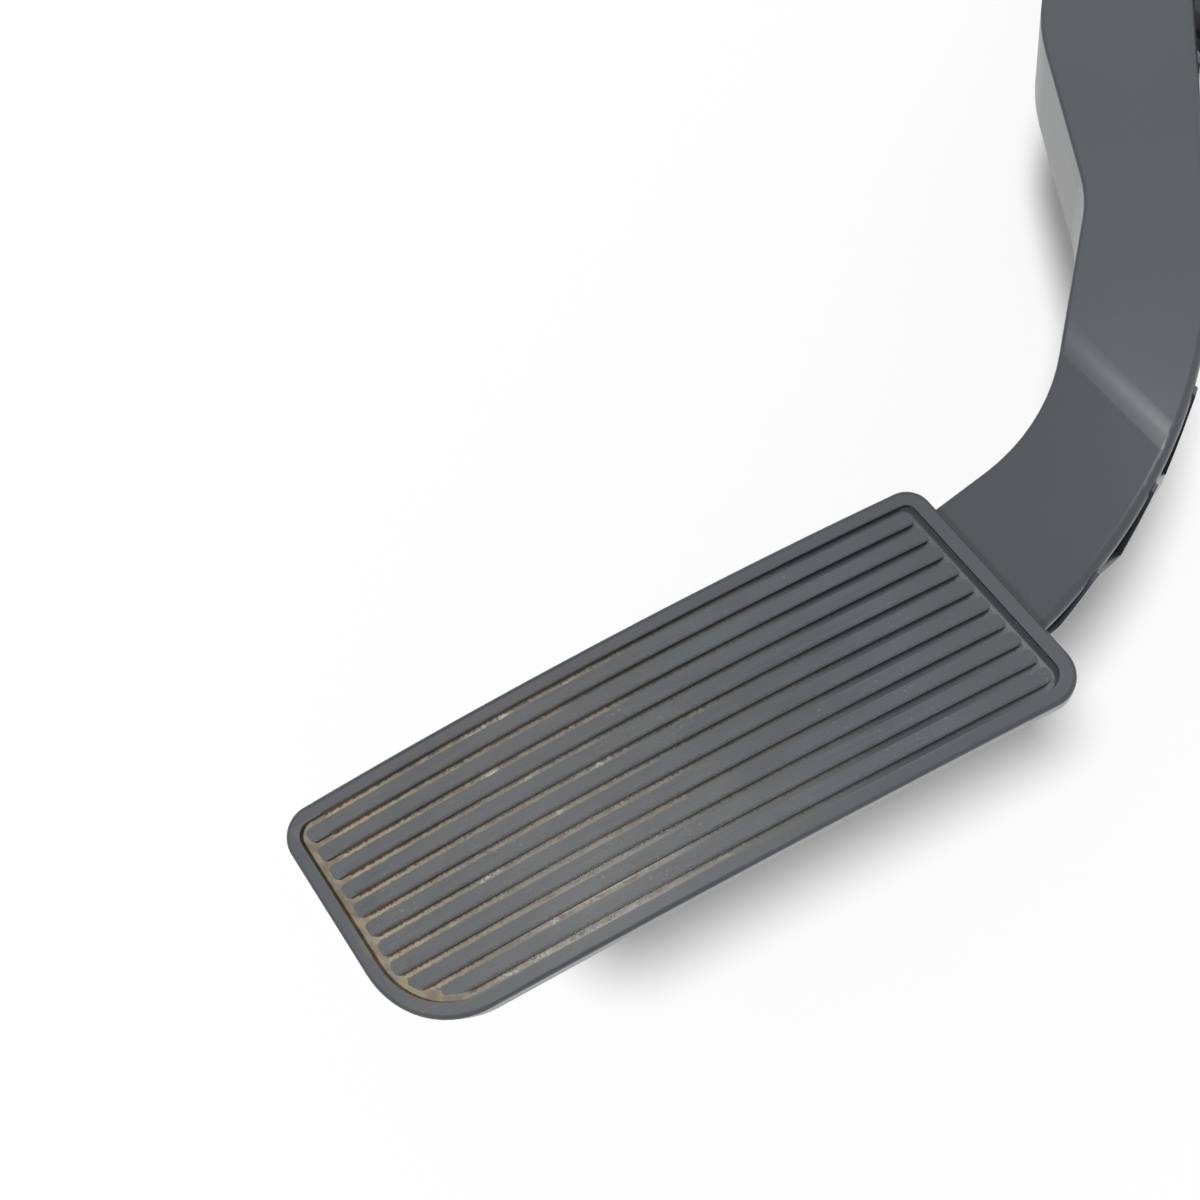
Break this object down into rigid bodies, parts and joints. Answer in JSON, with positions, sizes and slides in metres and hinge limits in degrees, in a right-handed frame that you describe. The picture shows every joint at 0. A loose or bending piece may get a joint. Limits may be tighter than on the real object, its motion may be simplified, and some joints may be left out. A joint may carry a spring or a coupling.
{
  "type": "accelerator pedal",
  "caption": "Car accelerator pedal module: a ribbed foot pad on a swept plastic arm, sprung about a pivot in a bolt-on housing with an angle sensor and a connector.",
  "frame": {"origin": "centre of the circle of mounting holes, on the mounting face", "axes": "+Z out of the mounting face towards the foot, +Y from the foot pad up to the housing, +X along the pivot axis towards the connector"},
  "size_m": [0.1834, 0.3958, 0.1224],
  "materials": {
    "pedal_plastic": "fine-grained moulded plastic, slate grey",
    "housing_plastic": "moulded glass-filled plastic, black",
    "cover_plastic": "moulded plastic, black",
    "screw_steel": "zinc plated",
    "shaft_steel": "ground",
    "spring_steel": "oil tempered wire",
    "sleeve_steel": "zinc plated",
    "ring_steel": "phosphated",
    "bush_bronze": "sintered, oil filled",
    "washer_plastic": "slippery natural plastic",
    "cup_plastic": "moulded plastic",
    "friction_lining": "slippery filled plastic",
    "stop_rubber": "matt rubber",
    "seal_rubber": "silicone rubber",
    "carrier_plastic": "moulded plastic, natural",
    "magnet": "sintered",
    "board": "lacquered board",
    "chip": "moulded package",
    "terminal": "tinned"
  },
  "bodies": {
    "housing": {"housing": "housing_plastic", "top_cover": "cover_plastic", "top_cover_screws": "screw_steel", "left_bush": "bush_bronze", "right_bush": "bush_bronze", "outer_return_spring": "spring_steel", "inner_return_spring": "spring_steel", "idle_stop_buffer": "stop_rubber", "full_stop_buffer": "stop_rubber", "sensor_board": "board", "hall_sensors": "chip", "cover_seal": "seal_rubber", "sensor_cover": "cover_plastic", "connector_terminals": "terminal", "sensor_cover_screws": "screw_steel", "mount_sleeves": "sleeve_steel"},
    "pedal": {"pedal_arm": "pedal_plastic", "pivot_shaft": "shaft_steel", "thrust_washers": "washer_plastic", "retaining_ring": "ring_steel", "spring_cup": "cup_plastic", "friction_shoe": "friction_lining", "magnet_carrier": "carrier_plastic", "sensor_magnet": "magnet"}
  },
  "joints": [
    {"name": "pedal_pivot", "type": "hinge", "parent": "housing", "child": "pedal", "pos_m": [0, 0.006, 0.036], "axis": [1, 0, 0], "range_deg": [0, 13], "stiffness_Nm_per_rad": 16.7, "springref_deg": -8.94, "deforming": ["outer_return_spring", "inner_return_spring"]}
  ]
}
